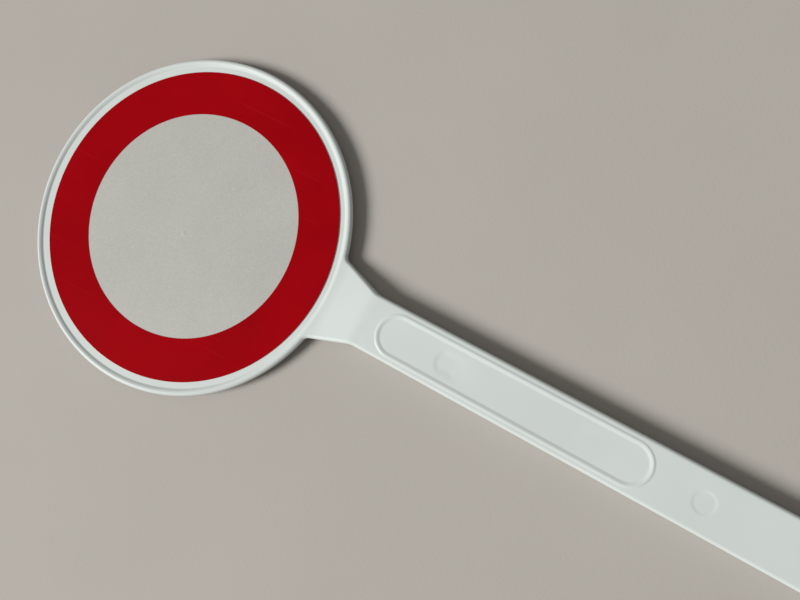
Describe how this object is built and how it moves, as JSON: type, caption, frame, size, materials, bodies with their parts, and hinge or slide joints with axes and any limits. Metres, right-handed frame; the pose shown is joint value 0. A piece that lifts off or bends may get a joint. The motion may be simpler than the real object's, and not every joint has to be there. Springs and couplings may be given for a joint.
{
  "type": "hand-held traffic signalling disc",
  "caption": "White plastic hand-held stop disc: a thin round face with a reflective centre and a broad red ring inside a raised rim, on a flared neck and a straight handle with a long recess.",
  "frame": {"origin": "centre of the bounding box in plan, at the back face of the handle that the paddle lies on", "axes": "+X along the handle from the disc towards the butt end, +Z out of the front face, +Y across the handle"},
  "size_m": [0.386, 0.152, 0.0102],
  "materials": {
    "white_moulding": "satin moulded white",
    "reflective_sheet": "fine-grained greyish white reflective film",
    "red_ring": "smooth red film",
    "screw_steel": "bright zinc plated"
  },
  "bodies": {
    "root": {"paddle_body": "white_moulding", "handle_cover": "white_moulding", "front_reflective_sheet": "reflective_sheet", "rear_reflective_sheet": "reflective_sheet", "front_red_ring": "red_ring", "rear_red_ring": "red_ring", "upper_handle_screw": "screw_steel", "lower_handle_screw": "screw_steel"}
  },
  "joints": []
}
